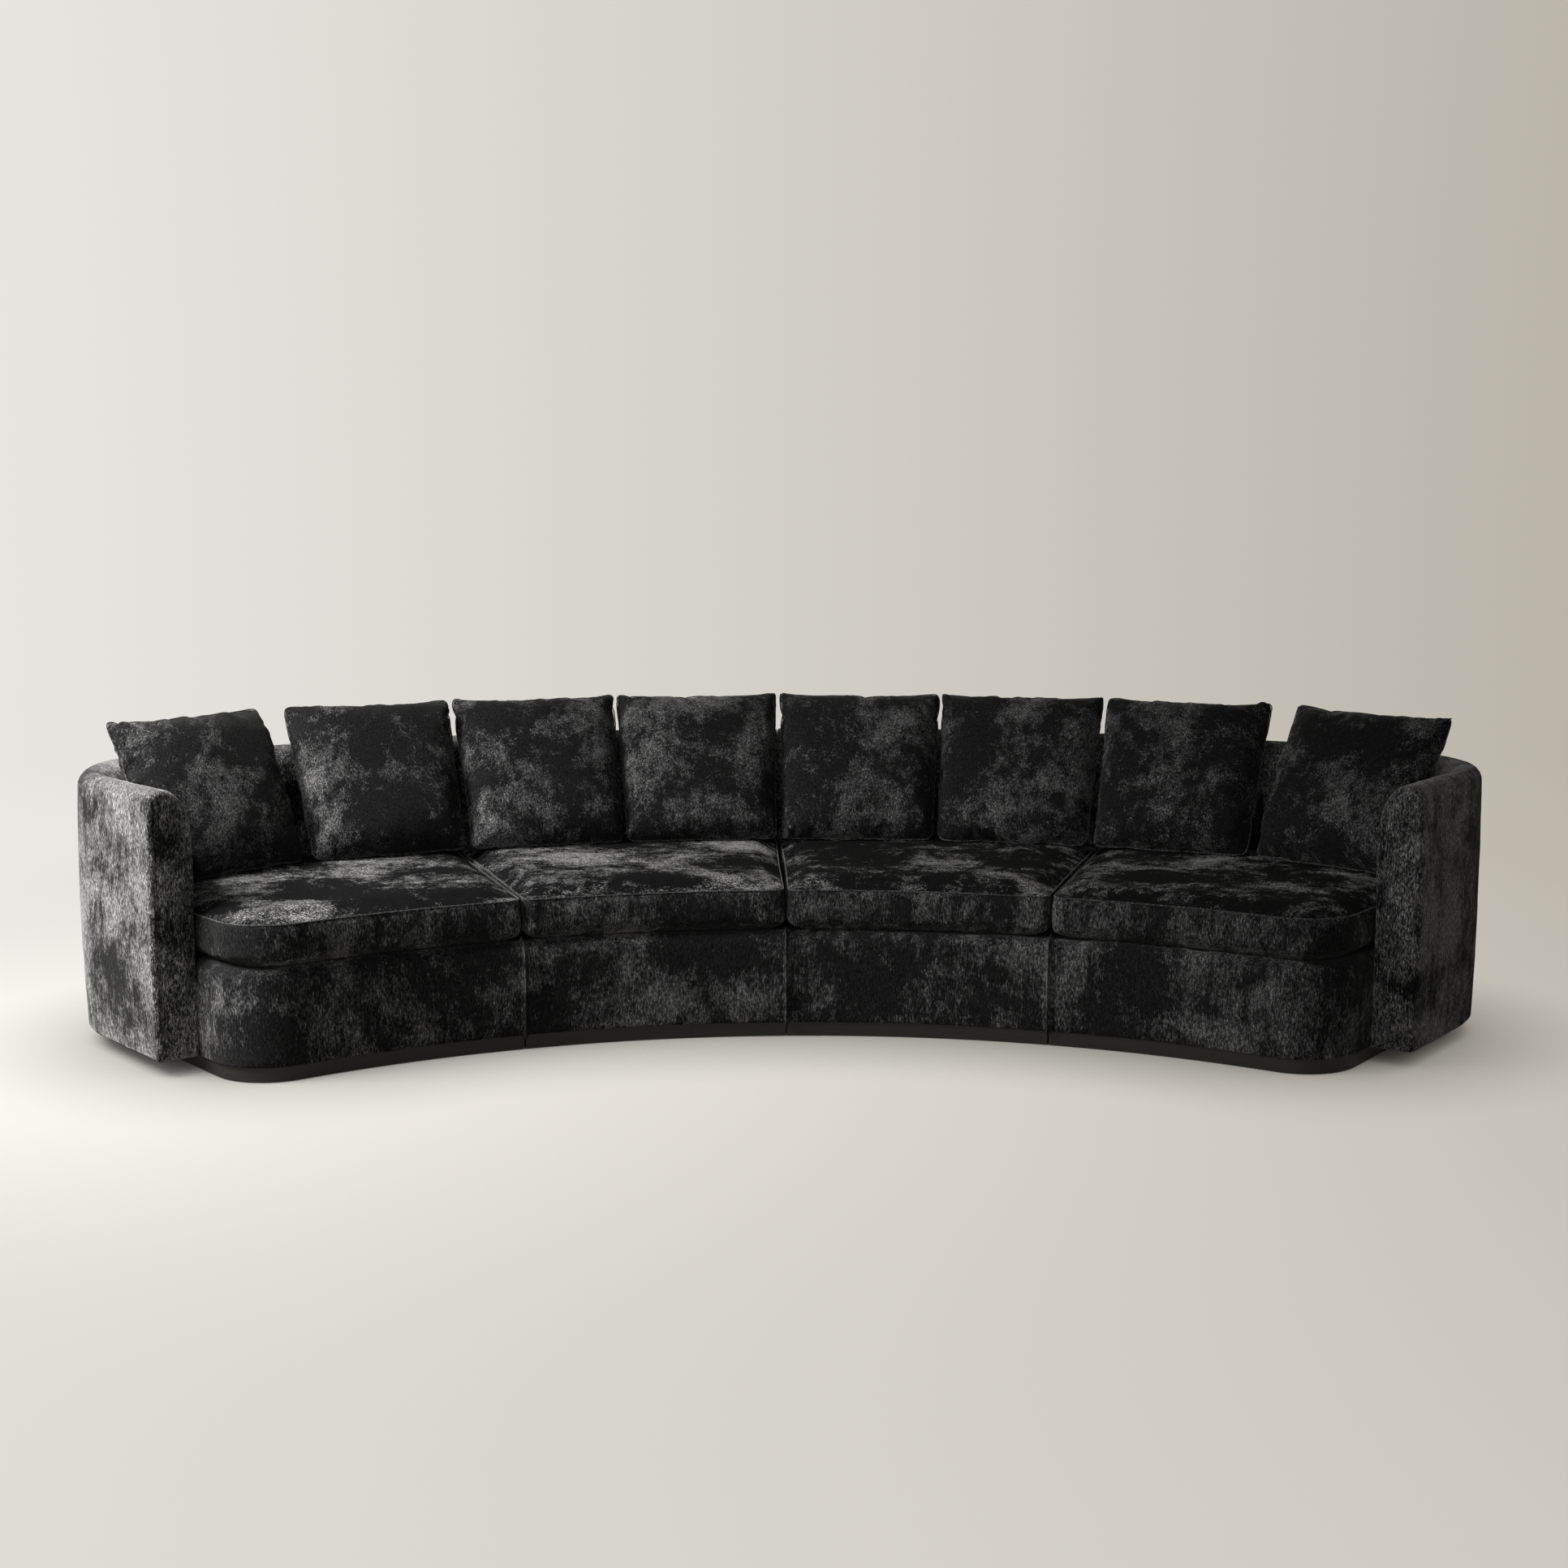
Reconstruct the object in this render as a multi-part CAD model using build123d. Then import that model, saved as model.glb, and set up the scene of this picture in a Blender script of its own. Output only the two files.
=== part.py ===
from math import acos, atan2, ceil, cos, degrees, hypot, pi, radians, remainder, sin, sqrt
import os
from build123d import *

# Curved sectional sofa of four wedge modules on one arc, in millimetres.
# Plan angles are counted from straight back, clockwise, about the centre of the arc.

# Plan of the row
front_radius = 2155.0        # concave front of the seat boxes
module_depth = 985.0         # seat front to the outside of the back
middle_angle = 19.0          # wedge of a middle module, degrees
end_angle = 20.4             # wedge of an end module as far as its arm, degrees
module_gap = 4.0             # between two modules pushed together
seat_corner_radius = 170.0   # rounded front corner of the seat beside an arm
fit = 0.5                    # room between pieces that are built into one module
soft_sag = 1.5               # rounded padding is cut to chords that miss its arcs by no more

# Back and arm wall
wall_thickness = 116.0
wall_top = 742.0
corner_radius = 380.0        # outside of the turn from back to arm
arm_setback = 240.0          # arm front behind the seat front
outer_roll = 38.0            # rounded top edge on the outside
roll_flat = 6.0              # flat crest between the two rounded edges
hem_round = 12.0             # bottom edge on the outside
front_bevel = 12.0           # edge round the front of an arm
wall_padding = 18.0          # foam and fabric over the frame
crown_padding = 72.0         # the same over the top rail
seam_padding = 8.0           # the same at a seam between modules
wall_rail_height = 60.0
wall_post_width = 50.0
middle_posts = 3
end_back_posts = 3

# Plinth and feet
glide_height = 3.0
glide_radius = 14.0
glide_sides = 8
plinth_top = 40.0
plinth_inset = 8.0
plinth_board = 36.0
connector_bay = 72.0         # plinth side boards stand this far from a seam

# Seat box
base_top = 294.0
base_padding = 20.0
base_bevel = 14.0            # soft top edge of the apron
side_lining = 5.0
dust_cloth = 1.5
frame_board = 22.0
stretcher_width = 34.0
stretcher_height = 90.0
strap_width = 60.0
strap_thickness = 2.0
long_straps = 4
cross_straps = 4
deck_thickness = 22.0

# Seat cushion
cushion_band = 114.0         # bottom seam to top seam
cushion_crown = 33.0         # top of the crown over the top seam
cushion_bulge = 6.0          # how far the band swells past its seams
cushion_proud = 3.0          # cushion front ahead of the apron
cushion_room = 3.0           # from the seam planes, the back and the arm
cushion_draw = 6.0           # sides pulled in between the corners
cushion_edge = 24.0          # upright corner rounding
crown_inset = 150.0          # where the crown levels out, in from the top seam
crown_levels = 3

# Back pillow
pillow_height = 478.0
pillow_top_width = 492.0
pillow_bottom_width = 446.0
pillow_front_swell = 92.0    # from the sewn edge's plane to the fullest place in front
pillow_rear_swell = 78.0     # the same behind, where it leans on the back
pillow_edge = 14.0           # thickness along the sewn edge
pillow_ear = 26.0            # rounding of the corners
pillow_draw = 9.0            # sides pulled in between the corners
pillow_crown = 0.65          # share of the way in at which the swell levels out
pillow_taper = 1.5           # how late the outline draws in as the pillow swells
pillow_lean = 29.0           # degrees
pillow_from_back = 243.0     # bottom edge to the inside of the back
pillow_rest = 0.4            # room over the cushion
pillow_sections = 4
pillow_pitch = 9.5           # degrees from one pillow to the next
middle_pillow_start = 4.8    # degrees from the middle seam to the first pillow
end_pillow_start = 4.9       # degrees from an end module's seam to its inner pillow
corner_pillow_swivel = 14.0   # degrees that the pillow beside an arm turns to the middle
corner_pillow_forward = 36.0  # that pillow ahead of the others, clear of the turn

# Connectors between modules
strap_plate = 4.0
strap_plate_width = 50.0
strap_plate_reach = 62.0     # on the module that stays
strap_plate_lap = 46.0       # under the module that lifts
packer_thickness = 6.0
packer_length = 46.0
pin_radius = 5.0
pin_sides = 8
pin_hole_room = 0.4
pin_offset = 25.0            # pin centre from the seam
pin_length = 12.0
pin_flange_width = 40.0
pin_flange_thickness = 4.0
connector_inset = 170.0      # from the seat front, and from the inside of the back

back_radius = front_radius + module_depth
well_radius = back_radius - wall_thickness
arm_angle = middle_angle + end_angle
arm_front = front_radius + arm_setback
half_gap = module_gap / 2
inner_roll = wall_thickness - outer_roll - roll_flat
crown_bottom = wall_top - crown_padding
dust_top = plinth_top + dust_cloth
deck_bottom = base_top - deck_thickness
rail_top = deck_bottom - 2 * strap_thickness
cushion_top = base_top + fit + cushion_band + cushion_crown
centre = (0.0, 0.0)


def beside(radius, angle, offset):
    """Point at a radius, offset clockwise from the radial line at an angle."""
    along = sqrt(radius * radius - offset * offset)
    turn = radians(angle)
    return (along * sin(turn) + offset * cos(turn), along * cos(turn) - offset * sin(turn))


def by_arm(along, outward):
    """Point measured along the inside of the arm and outward from it."""
    turn = radians(arm_angle)
    return (along * sin(turn) + outward * cos(turn), along * cos(turn) - outward * sin(turn))


def toward(point, radius):
    """Point at a radius in the direction of another point."""
    reach = hypot(*point)
    return (point[0] * radius / reach, point[1] * radius / reach)


def arc(middle, start, stop):
    """Short arc about a middle point."""
    radius = hypot(start[0] - middle[0], start[1] - middle[1])
    half = ((start[0] + stop[0]) / 2 - middle[0], (start[1] + stop[1]) / 2 - middle[1])
    bulge = toward(half, radius)
    return ThreePointArc(start, (middle[0] + bulge[0], middle[1] + bulge[1]), stop)


def arc_points(middle, start, stop):
    """Points that cut a short arc to chords, from its start to the last before its end."""
    first = atan2(start[1] - middle[1], start[0] - middle[0])
    sweep = remainder(atan2(stop[1] - middle[1], stop[0] - middle[0]) - first, 2 * pi)
    radius = hypot(start[0] - middle[0], start[1] - middle[1])
    count = ceil(abs(sweep) / (2 * acos(1 - soft_sag / radius)))
    turns = [first + sweep * index / count for index in range(count)]
    return [(middle[0] + radius * cos(turn), middle[1] + radius * sin(turn)) for turn in turns]


def between(start, stop, share):
    return (start[0] + (stop[0] - start[0]) * share, start[1] + (stop[1] - start[1]) * share)


def eased(start, corner, stop):
    """Points that take a corner in two chords."""
    return [start, between(between(start, stop, 0.5), corner, 0.5), stop]


def face(*edges):
    return Face(Wire(edges))


def polygon(points):
    return Face(Wire.make_polygon(points))


def prism(plan, bottom, top):
    return extrude(Pos(0, 0, bottom) * plan, amount=top - bottom, dir=(0, 0, 1))


# The turn from back to arm: one centre serves the outside and the inside of the wall
turn_outward = wall_thickness - corner_radius
turn_along = sqrt((back_radius - corner_radius) ** 2 - turn_outward ** 2)
turn_centre = by_arm(turn_along, turn_outward)
turn_angle = arm_angle + degrees(atan2(turn_outward, turn_along))


def sector(near, far, first, last):
    """Plan between two radii and two lines, each given as an angle and an offset from it."""
    a = beside(near, *first)
    b = beside(near, *last)
    c = beside(far, *last)
    d = beside(far, *first)
    return face(arc(centre, a, b), Line(b, c), arc(centre, c, d), Line(d, a))


def seat_corner(front, arm):
    """Rounded front corner beside the arm: its centre, and where it meets the front and the side."""
    radius = seat_corner_radius - max(front, arm)
    near = front_radius + front
    along = sqrt((near + radius) ** 2 - (arm + radius) ** 2)
    middle = by_arm(along, -arm - radius)
    return middle, toward(middle, near), by_arm(along, -arm)


def well_turn(rear, arm):
    """Rounded back corner beside the arm: its centre, where it starts along the arm, and its end."""
    radius = corner_radius - wall_thickness - max(rear, arm)
    far = well_radius - rear
    along = sqrt((far - radius) ** 2 - (arm + radius) ** 2)
    middle = by_arm(along, -arm - radius)
    return middle, along, toward(middle, far)


def outline(kind, front, side, rear, arm):
    """Plan of a seat, inset from its front, its seams, its back and its arm."""
    near = front_radius + front
    far = well_radius - rear
    if kind == "middle":
        return sector(near, far, (0, side), (middle_angle, -side))
    middle, on_front, on_side = seat_corner(front, arm)
    turn, along, on_back = well_turn(rear, arm)
    a = beside(near, middle_angle, side)
    b = by_arm(along, -arm)
    d = beside(far, middle_angle, side)
    return face(arc(centre, a, on_front), arc(middle, on_front, on_side), Line(on_side, b),
                arc(turn, b, on_back), arc(centre, on_back, d), Line(d, a))


seams = {"middle": ((0, 1), (middle_angle, -1)), "end": ((middle_angle, 1),)}


def front_strip(kind, inset, thickness, side, along):
    """Plan of a board along the seat front, and on an end module round the corner and along the arm."""
    near = front_radius + inset
    if kind == "middle":
        return sector(near, near + thickness, (0, side), (middle_angle, -side))
    middle, on_front, on_side = seat_corner(inset, inset)
    _, in_front, in_side = seat_corner(inset + thickness, inset + thickness)
    a = beside(near, middle_angle, side)
    b = by_arm(along, -inset)
    c = by_arm(along, -inset - thickness)
    d = beside(near + thickness, middle_angle, side)
    return face(arc(centre, a, on_front), arc(middle, on_front, on_side), Line(on_side, b), Line(b, c),
                Line(c, in_side), arc(middle, in_side, in_front), arc(centre, in_front, d), Line(d, a))


def rear_strip(kind, rear, arm, thickness, side):
    """Plan of a board along the back, round the turn on an end module."""
    far = well_radius - rear
    if kind == "middle":
        return sector(far - thickness, far, (0, side), (middle_angle, -side))
    turn, along, b = well_turn(rear, arm)
    a = beside(far, middle_angle, side)
    c = by_arm(along, -arm)
    d = by_arm(along, -arm - thickness)
    e = toward(turn, far - thickness)
    f = beside(far - thickness, middle_angle, side)
    return face(arc(centre, a, b), arc(turn, b, c), Line(c, d), arc(turn, d, e), arc(centre, e, f), Line(f, a))


def side_strips(kind, near, far, side, thickness):
    """Plans of the boards along the seams of a module."""
    strips = []
    for angle, inward in seams[kind]:
        lines = sorted(((angle, inward * side), (angle, inward * (side + thickness))))
        strips.append(sector(near, far, *lines))
    return strips


def wall_plan(kind, inside, outside, front, seam):
    """Plan of the wall, inset from its inside and outside faces, its arm front and its seams."""
    near = well_radius + inside
    far = back_radius - outside
    if kind == "middle":
        return sector(near, far, (0, seam), (middle_angle, -seam))
    start = arm_front + front
    outward = wall_thickness - outside
    a = beside(far, middle_angle, seam)
    b = toward(turn_centre, far)
    c = by_arm(turn_along, outward)
    d = by_arm(start, outward)
    e = by_arm(start, inside)
    f = by_arm(turn_along, inside)
    g = toward(turn_centre, near)
    h = beside(near, middle_angle, seam)
    return face(arc(centre, a, b), arc(turn_centre, b, c), Line(c, d), Line(d, e), Line(e, f),
                arc(turn_centre, f, g), arc(centre, g, h), Line(h, a))


def wall_profile(outer):
    """Upright section of the wall, with its outside at a distance from the axis of a turn."""
    inner = outer - wall_thickness
    hem = (outer - hem_round, plinth_top)
    hem_end = (outer, plinth_top + hem_round)
    roll = (outer, wall_top - outer_roll)
    crest = (outer - outer_roll, wall_top)
    crest_end = (inner + inner_roll, wall_top)
    fall = (inner, wall_top - inner_roll)
    foot = (inner, plinth_top)
    return polygon([foot, *arc_points((hem[0], hem_end[1]), hem, hem_end), hem_end,
                    *arc_points((crest[0], roll[1]), roll, crest), crest,
                    *arc_points((crest_end[0], fall[1]), crest_end, fall), fall])


def upright(origin, angle):
    """Upright plane through a point, with its x axis along a plan angle."""
    turn = radians(angle)
    return Plane(origin=(*origin, 0), x_dir=(sin(turn), cos(turn), 0), z_dir=(cos(turn), -sin(turn), 0))


def back_stretch(first, last):
    section = upright(centre, last).location * wall_profile(back_radius)
    return revolve(section, Axis.Z, revolution_arc=last - first)


def wall_solid(kind):
    """The padded wall before it is hollowed for its frame."""
    gap_angle = degrees(half_gap / back_radius)
    if kind == "middle":
        return back_stretch(gap_angle, middle_angle - gap_angle)
    back = back_stretch(middle_angle + gap_angle, turn_angle)
    square = arm_angle + 90
    section = upright(turn_centre, square).location * wall_profile(corner_radius)
    turn = revolve(section, Axis((*turn_centre, 0), (0, 0, 1)), revolution_arc=square - turn_angle)
    arm = extrude(section, amount=turn_along - arm_front, dir=(*by_arm(-1, 0), 0))
    wall = back + turn + arm
    tip = by_arm(arm_front, wall_thickness / 2)
    front = wall.faces().sort_by_distance((*tip, wall_top / 2))[0]
    edges = [edge for edge in front.edges() if edge.center().Z > plinth_top + fit]
    return chamfer(edges, front_bevel)


def arm_block(start, stop, inset):
    """Plan of a block across the arm, between two places along it."""
    return polygon([by_arm(start, inset), by_arm(start, wall_thickness - inset),
                    by_arm(stop, wall_thickness - inset), by_arm(stop, inset)])


def make_back_cover(kind):
    """Padded panels round the frame: crown, inside, outside, seam ends and arm front."""
    over = fit
    wall = wall_solid(kind)
    rest = wall_thickness - wall_padding
    crown = prism(wall_plan(kind, -over, -over, -over, 0), crown_bottom, wall_top + over)
    inside = prism(wall_plan(kind, -over, rest, -over, 0), plinth_top, crown_bottom)
    outside = prism(wall_plan(kind, rest, -over, -over, 0), plinth_top, crown_bottom)
    panels = [wall & block for block in (crown, inside, outside)]
    near = well_radius + wall_padding
    ends = side_strips(kind, near, back_radius - wall_padding, half_gap, seam_padding)
    if kind == "end":
        ends.append(arm_block(arm_front, arm_front + wall_padding, wall_padding))
    return panels + [prism(end, plinth_top, crown_bottom) for end in ends]


def make_back_frame(kind):
    """Bottom rail, top rail and posts in the hollow of the wall."""
    padding = wall_padding + fit
    plan = wall_plan(kind, padding, padding, padding, half_gap + seam_padding + fit)
    top = crown_bottom - fit
    post_bottom = plinth_top + wall_rail_height
    post_top = top - wall_rail_height
    pieces = [prism(plan, plinth_top, post_bottom), prism(plan, post_top, top)]
    first, last, count = 0.0, middle_angle, middle_posts
    if kind == "end":
        first, last, count = middle_angle, turn_angle, end_back_posts
        for along in (arm_front + padding, turn_along - wall_post_width):
            post = arm_block(along, along + wall_post_width, padding)
            pieces.append(prism(post, post_bottom, post_top))
    half = wall_post_width / 2
    for index in range(count):
        angle = first + (last - first) * (index + 0.5) / count
        post = sector(well_radius + padding, back_radius - padding, (angle, -half), (angle, half))
        pieces.append(prism(post, post_bottom, post_top))
    return pieces


def make_plinth(kind):
    """Front, rear and side boards, with the front board running to the seams."""
    boards = [front_strip(kind, plinth_inset, plinth_board, half_gap, turn_along),
              rear_strip(kind, plinth_inset, plinth_inset, plinth_board, connector_bay)]
    near = front_radius + plinth_inset + plinth_board
    far = well_radius - plinth_inset - plinth_board
    boards += side_strips(kind, near, far, connector_bay, plinth_board)
    return [prism(board, glide_height, plinth_top) for board in boards]


def make_glides(kind):
    """Feet under the middle of the plinth boards."""
    middle = plinth_inset + plinth_board / 2
    near = front_radius + middle
    far = well_radius - middle
    side = connector_bay + plinth_board / 2
    spots = []
    for angle, inward in seams[kind]:
        spots.append(beside(near, angle, inward * side))
        spots.append(beside(far, angle, inward * side))
    if kind == "end":
        spots.append(seat_corner(middle, middle)[2])
        spots.append(by_arm(turn_along, -middle))
    glide = extrude(RegularPolygon(glide_radius, glide_sides), glide_height)
    return [Pos(*spot) * glide for spot in spots]


def seam_sides(extra):
    """Inset of what lies inside the side linings."""
    return half_gap + side_lining + fit + extra


def module_axis(kind):
    """Middle angle of a module and its half wedge."""
    if kind == "middle":
        return middle_angle / 2, middle_angle / 2
    return middle_angle + end_angle / 2, end_angle / 2


def make_seat_frame(kind):
    """Rails round the seat box and two stretchers from front to back."""
    inset = base_padding + fit
    side = seam_sides(0)
    boards = [front_strip(kind, inset, frame_board, side, well_turn(fit, inset)[1]),
              rear_strip(kind, fit, inset, frame_board, side)]
    near = front_radius + inset + frame_board
    far = well_radius - fit - frame_board
    boards += side_strips(kind, near, far, side, frame_board)
    pieces = [prism(board, dust_top, rail_top) for board in boards]
    angle, half_wedge = module_axis(kind)
    for share in (-1, 1):
        line = angle + share * half_wedge / 3
        plan = sector(near, far, (line, -stretcher_width / 2), (line, stretcher_width / 2))
        pieces.append(prism(plan, rail_top - stretcher_height, rail_top))
    return pieces


def make_webbing(kind):
    """Elastic straps from front to back, and straps across on top of them."""
    inset = base_padding + 2 * fit
    trim = outline(kind, inset, seam_sides(fit), 2 * fit, inset)
    angle, half_wedge = module_axis(kind)
    near = front_radius + inset
    far = well_radius
    half = strap_width / 2
    straps = []
    for index in range(long_straps):
        line = angle + half_wedge * ((2 * index + 1) / long_straps - 1)
        plan = sector(near, far, (line, -half), (line, half))
        straps.append(prism(plan, rail_top, rail_top + strap_thickness))
    turned = Rot(0, 0, -angle)
    for index in range(cross_straps):
        along = near + seat_corner_radius + (far - near - seat_corner_radius) * (index + 0.5) / cross_straps
        plan = turned * Pos(0, along) * Rectangle(2 * module_depth, strap_width)
        straps.append(prism(plan, rail_top + strap_thickness, deck_bottom))
    block = prism(trim, rail_top, deck_bottom)
    return [strap & block for strap in straps]


def make_dust_cover(kind):
    inset = base_padding + fit
    return prism(outline(kind, inset, seam_sides(0), fit, inset), plinth_top, dust_top)


def make_deck_pad(kind):
    inset = base_padding + fit
    return prism(outline(kind, inset, seam_sides(0), fit, inset), deck_bottom, base_top)


def make_base_cover(kind):
    """Padded apron with a soft top edge, and the linings of the seam sides."""
    apron = prism(front_strip(kind, 0, base_padding, half_gap, turn_along), plinth_top, base_top)
    outside = [edge for edge in apron.edges() if is_front(kind, edge)]
    apron = chamfer([edge for edge in outside if edge.center().Z > base_top - fit], base_bevel)
    near = front_radius + base_padding + fit
    linings = side_strips(kind, near, well_radius - fit, half_gap, side_lining)
    return [apron] + [prism(lining, plinth_top, base_top - base_bevel) for lining in linings]


def is_front(kind, edge):
    """Level edges on the outside of the apron."""
    if abs(edge.tangent_at(0.5).Z) > 0.5:
        return False
    spot = edge @ 0.5
    if abs(hypot(spot.X, spot.Y) - front_radius) < fit:
        return True
    if kind == "middle":
        return False
    turn = radians(arm_angle)
    outward = spot.X * cos(turn) - spot.Y * sin(turn)
    middle, on_front, on_side = seat_corner(0, 0)
    on_corner = abs(hypot(spot.X - middle[0], spot.Y - middle[1]) - seat_corner_radius) < fit
    return abs(outward) < fit or on_corner


def seam_edge(near, far, angle, inward):
    """Cushion outline along a seam from back to front: two eased corners and a drawn-in side."""
    side = inward * (half_gap + cushion_room)
    turned = side + inward * cushion_edge
    rear = eased(beside(far, angle, turned), beside(far, angle, side), beside(far - cushion_edge, angle, side))
    front = eased(beside(near + cushion_edge, angle, side), beside(near, angle, side),
                  beside(near, angle, turned))
    return rear + [beside((near + far) / 2, angle, side + inward * cushion_draw)] + front


def cushion_outline(kind, near, far):
    """Corner points of a cushion at its fullest."""
    if kind == "middle":
        first = seam_edge(near, far, 0, 1)
        last = seam_edge(near, far, middle_angle, -1)
        last.reverse()
        return [*first[:-1], *arc_points(centre, first[-1], last[0]),
                *last[:-1], *arc_points(centre, last[-1], first[0])]
    first = seam_edge(near, far, middle_angle, 1)
    middle, on_front, on_side = seat_corner(-cushion_proud, cushion_room)
    turn, along, on_back = well_turn(cushion_room, cushion_room)
    on_arm = by_arm(along, -cushion_room)
    return [*first[:-1], *arc_points(centre, first[-1], on_front), *arc_points(middle, on_front, on_side),
            on_side, *arc_points(turn, on_arm, on_back), *arc_points(centre, on_back, first[0])]


def stacked(points, middle, levels):
    """Flat-faced loft of one outline at several heights, drawn in toward a middle point by a share at each."""
    rings = []
    for height, share in levels:
        rings.append([(*between(point, middle, share), height) for point in points])
    faces = [polygon(rings[0]), polygon(rings[-1])]
    for lower, upper in zip(rings, rings[1:]):
        for index in range(len(points)):
            faces.append(polygon([lower[index - 1], lower[index], upper[index], upper[index - 1]]))
    return Solid(Shell(faces))


def make_seat_cushion(kind):
    """Boxed cushion: a swelling band between two seams, and a crowned top."""
    near = front_radius - cushion_proud
    far = well_radius - cushion_room
    half_depth = (far - near) / 2
    seam = cushion_bulge / half_depth
    levels = [(0, seam), (cushion_band / 2, 0), (cushion_band, seam)]
    for index in range(1, crown_levels + 1):
        share = index / crown_levels
        rise = cushion_crown * sin(share * pi / 2)
        levels.append((cushion_band + rise, seam + share * crown_inset / half_depth))
    middle = beside(near + half_depth, module_axis(kind)[0], 0)
    return Pos(0, 0, base_top + fit) * stacked(cushion_outline(kind, near, far), middle, levels)


def pillow_outline():
    """Corner points of a pillow lying flat: eased ears and drawn-in sides."""
    top = pillow_top_width / 2
    bottom = pillow_bottom_width / 2
    corners = [(-bottom, 0.0), (bottom, 0.0), (top, pillow_height), (-top, pillow_height)]
    middle = (0.0, pillow_height / 2)
    points = []
    for index, corner in enumerate(corners):
        before = corners[index - 1]
        after = corners[(index + 1) % len(corners)]
        start = between(corner, before, pillow_ear / hypot(before[0] - corner[0], before[1] - corner[1]))
        stop = between(corner, after, pillow_ear / hypot(after[0] - corner[0], after[1] - corner[1]))
        points += eased(start, corner, stop)
        side = between(corner, after, 0.5)
        points.append(between(side, middle, pillow_draw / hypot(side[0] - middle[0], side[1] - middle[1])))
    return points, middle


def make_pillow(angle, swivel, forward):
    """Knife-edge pillow: its outline drawn in toward each face as it swells, leaning back."""
    half_edge = pillow_edge / 2
    front = []
    rear = []
    for index in range(pillow_sections + 1):
        share = index / pillow_sections
        rise = sin(share * pi / 2)
        inset = pillow_crown * share ** pillow_taper
        front.append((half_edge + (pillow_front_swell - half_edge) * rise, inset))
        rear.append((-half_edge - (pillow_rear_swell - half_edge) * rise, inset))
    rear.reverse()
    pillow = Rot(90, 0, 0) * stacked(*pillow_outline(), rear + front)
    spot = beside(well_radius - pillow_from_back - forward, angle, 0)
    height = cushion_top + pillow_rest + pillow_edge / 2 * sin(radians(pillow_lean))
    return Pos(*spot, height) * Rot(0, 0, -angle - swivel) * Rot(-pillow_lean, 0, 0) * pillow


def make_connector(angle):
    """Straps on the module before a seam, and flanged pins on the module after it."""
    plates = []
    pins = []
    turned = Rot(0, 0, -angle)
    packer_bottom = plinth_top - packer_thickness
    flange = pin_flange_thickness
    pin = extrude(RegularPolygon(pin_radius, pin_sides), -pin_length)
    hole = extrude(RegularPolygon(pin_radius + pin_hole_room, pin_sides), -3 * strap_plate)
    for along in (front_radius + connector_inset, well_radius - connector_inset):
        length = strap_plate_reach + strap_plate_lap
        plate = Pos((strap_plate_lap - strap_plate_reach) / 2, along, packer_bottom - strap_plate / 2) \
            * Box(length, strap_plate_width, strap_plate)
        plate -= Pos(pin_offset, along, packer_bottom + strap_plate) * hole
        packer = Pos(packer_length / 2 - strap_plate_reach, along, plinth_top - packer_thickness / 2) \
            * Box(packer_length, strap_plate_width, packer_thickness)
        plates.append(turned * (plate + packer))
        base = Pos(pin_offset, along, plinth_top - flange / 2) * Box(pin_flange_width, strap_plate_width, flange)
        pins.append(turned * (base + Pos(pin_offset, along, plinth_top - flange) * pin))
    return plates, pins


makers = {
    "plinth": make_plinth,
    "glides": make_glides,
    "seat_frame": make_seat_frame,
    "webbing": make_webbing,
    "dust_cover": make_dust_cover,
    "base_cover": make_base_cover,
    "deck_pad": make_deck_pad,
    "back_frame": make_back_frame,
    "back_cover": make_back_cover,
    "seat_cushion": make_seat_cushion,
}
first_pillow = {"middle": middle_pillow_start, "end": middle_angle + end_pillow_start}
outer_turn = {"middle": (0.0, 0.0), "end": (corner_pillow_swivel, corner_pillow_forward)}


def gathered(pieces):
    """One shape from a piece or a list of pieces."""
    if isinstance(pieces, list):
        return Compound([solid for piece in pieces for solid in piece.solids()])
    return pieces.solid()


nodes = {}
for kind in ("middle", "end"):
    right = {name: gathered(make(kind)) for name, make in makers.items()}
    right["pillow_inner"] = gathered(make_pillow(first_pillow[kind], 0.0, 0.0))
    right["pillow_outer"] = gathered(make_pillow(first_pillow[kind] + pillow_pitch, *outer_turn[kind]))
    for name, shape in right.items():
        nodes["right_" + kind + "_" + name] = shape
        nodes["left_" + kind + "_" + name] = mirror(shape, about=Plane.YZ)

middle_plates, middle_pins = make_connector(0)
nodes["middle_seam_plates"] = gathered(middle_plates)
nodes["middle_seam_pins"] = gathered(middle_pins)
outer_plates, outer_pins = make_connector(middle_angle)
for name, pieces in (("plates", outer_plates), ("pins", outer_pins)):
    nodes["right_seam_" + name] = gathered(pieces)
    nodes["left_seam_" + name] = mirror(gathered(pieces), about=Plane.YZ)

# The origin is on the floor, at the middle of the plan of the whole row
box = Compound(list(nodes.values())).bounding_box()
to_origin = Pos(0, -(box.min.Y + box.max.Y) / 2, 0)
print("size", [round(value) for value in (box.size.X, box.size.Y, box.size.Z)])
print("centre of the arc at y", round(-(box.min.Y + box.max.Y) / 2, 3))

os.makedirs("parts", exist_ok=True)
for name, shape in nodes.items():
    export_step(to_origin * shape, "parts/" + name + ".step")
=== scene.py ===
import bpy
import bmesh
import math
import random
import numpy as np
from mathutils import Matrix, Vector


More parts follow.
